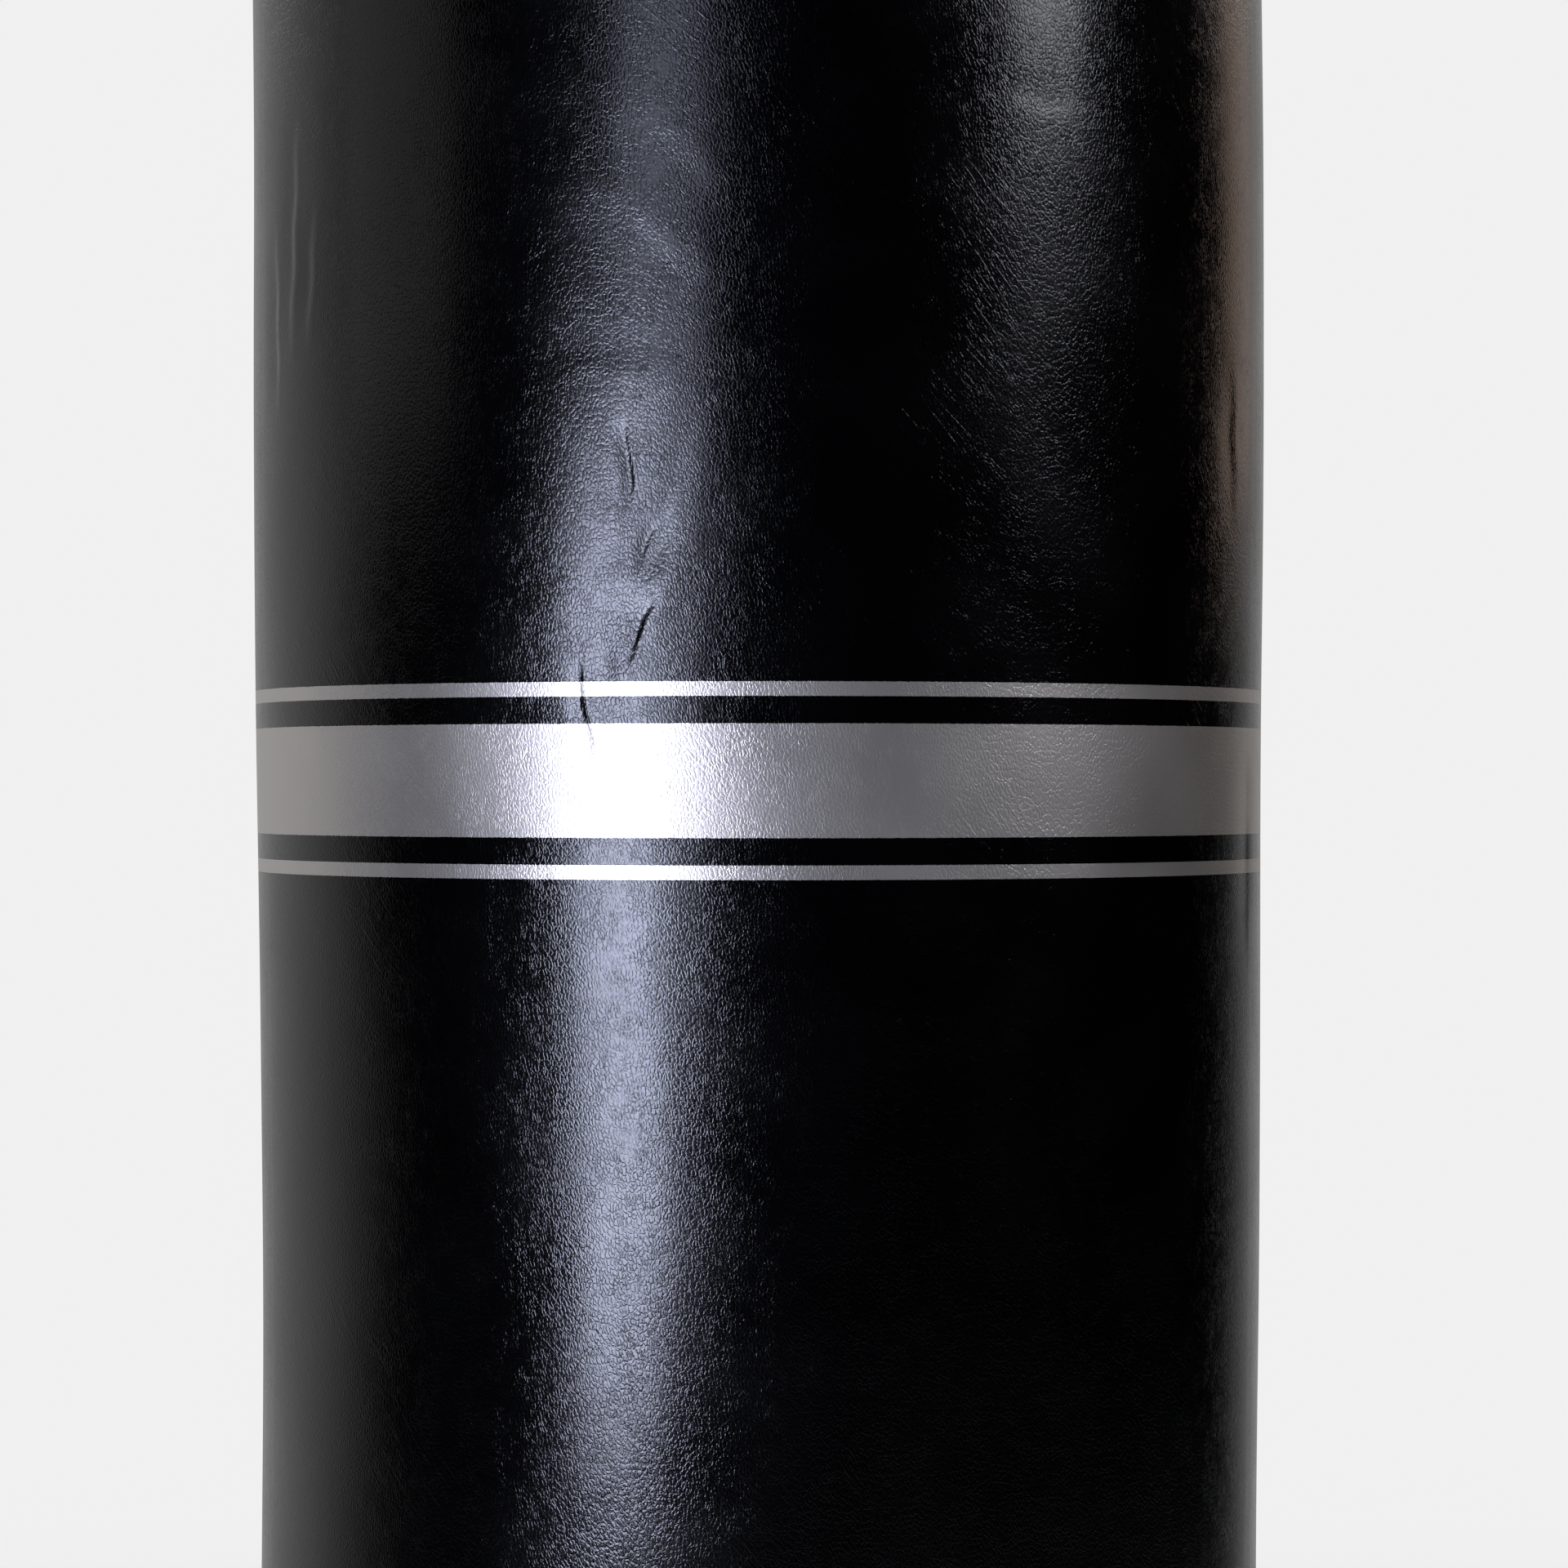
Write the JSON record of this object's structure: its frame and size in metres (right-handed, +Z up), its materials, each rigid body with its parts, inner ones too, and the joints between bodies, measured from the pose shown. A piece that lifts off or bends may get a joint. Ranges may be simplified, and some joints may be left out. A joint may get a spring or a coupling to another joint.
{
  "type": "punching bag on stand",
  "caption": "Free-standing punching bag: tall padded cylinder in black coated fabric on a coil-spring neck, bolted to a round ballast tank that stands on suction cups.",
  "frame": {"origin": "on the floor, at the middle of the base, under the bag's axis", "axes": "+Z up along the bag's axis; -Y is the bag's front, the zip is at the back (+Y) and the filler cap is on the +X side of the tank"},
  "size_m": [0.5994, 0.5994, 1.7481],
  "materials": {
    "black_coated_fabric": "satin",
    "black_piping": "satin",
    "black_polyethylene": "satin",
    "sand": "matte",
    "suction_rubber": "satin",
    "galvanised_steel": "satin",
    "zinc_steel": "gloss",
    "black_oxide_steel": "satin",
    "black_powder_coat": "satin",
    "spring_steel": "gloss",
    "brass": "satin",
    "buffer_rubber": "matte",
    "firm_foam": "matte",
    "soft_foam": "matte",
    "plywood": "matte",
    "plug_plastic": "satin",
    "zip_fabric": "matte",
    "zip_nylon": "satin",
    "zip_metal": "gloss"
  },
  "bodies": {
    "stand": {"suction_cups": "suction_rubber", "cup_studs": "zinc_steel", "cup_washers": "zinc_steel", "cup_nuts": "zinc_steel", "base_plate": "black_powder_coat", "centre_column": "galvanised_steel", "column_screws": "black_oxide_steel", "ballast_tank": "black_polyethylene", "sand_ballast": "sand", "filler_neck": "black_polyethylene", "lower_spring_seat": "black_powder_coat", "lower_set_screws": "black_oxide_steel", "lower_seat_washers": "zinc_steel", "lower_seat_bolts": "zinc_steel", "tank_inserts": "brass", "seat_cap_screw": "black_oxide_steel"},
    "neck": {"coil_spring": "spring_steel", "rubber_buffer": "buffer_rubber"},
    "bag": {"upper_spring_seat": "black_powder_coat", "upper_set_screws": "black_oxide_steel", "upper_seat_washers": "zinc_steel", "upper_seat_bolts": "zinc_steel", "upper_seat_nuts": "zinc_steel", "bag_plate": "black_powder_coat", "core_tube": "galvanised_steel", "tube_plug": "plug_plastic", "cross_bolt": "zinc_steel", "cross_nut": "zinc_steel", "inner_foam": "firm_foam", "outer_foam": "soft_foam", "top_board": "plywood", "top_pad": "soft_foam", "bag_cover": "black_coated_fabric", "top_panel": "black_coated_fabric", "top_piping": "black_piping", "zip_tape": "zip_fabric", "zip_chain": "zip_nylon", "zip_stops": "zip_metal"},
    "slider": {"zip_slider": "zip_metal"},
    "pull": {"zip_pull": "zip_metal"},
    "gasket": {"filler_gasket": "suction_rubber"},
    "cap": {"filler_cap": "plug_plastic"}
  },
  "joints": [
    {"name": "tilt_fore_aft", "type": "hinge", "parent": "stand", "child": "neck", "pos_m": [0, 0, 0.382], "axis": [1, 0, 0], "range_deg": [-20, 20], "stiffness_Nm_per_rad": 1500, "deforming": ["coil_spring"]},
    {"name": "tilt_side", "type": "hinge", "parent": "neck", "child": "bag", "pos_m": [0, 0, 0.4426], "axis": [0, 1, 0], "range_deg": [-20, 20], "stiffness_Nm_per_rad": 1500},
    {"name": "zip_slide", "type": "slide", "parent": "bag", "child": "slider", "axis": [0, 0, 1], "range_m": [0, 1.058]},
    {"name": "zip_pull_swing", "type": "hinge", "parent": "slider", "child": "pull", "pos_m": [0, 0.1746, 0.5716], "axis": [1, 0, 0], "range_deg": [0, 170]},
    {"name": "filler_cap_lift", "type": "slide", "parent": "stand", "child": "gasket", "axis": [0, 0, 1], "range_m": [0, 0.015]},
    {"name": "filler_cap_turn", "type": "hinge", "parent": "gasket", "child": "cap", "pos_m": [0.222, 0, 0.266], "axis": [0, 0, 1], "range_deg": [0, 1080]}
  ],
  "couplings": [
    {"joint": "filler_cap_lift", "follows": "filler_cap_turn", "m_per_rad": 0.00079577}
  ]
}
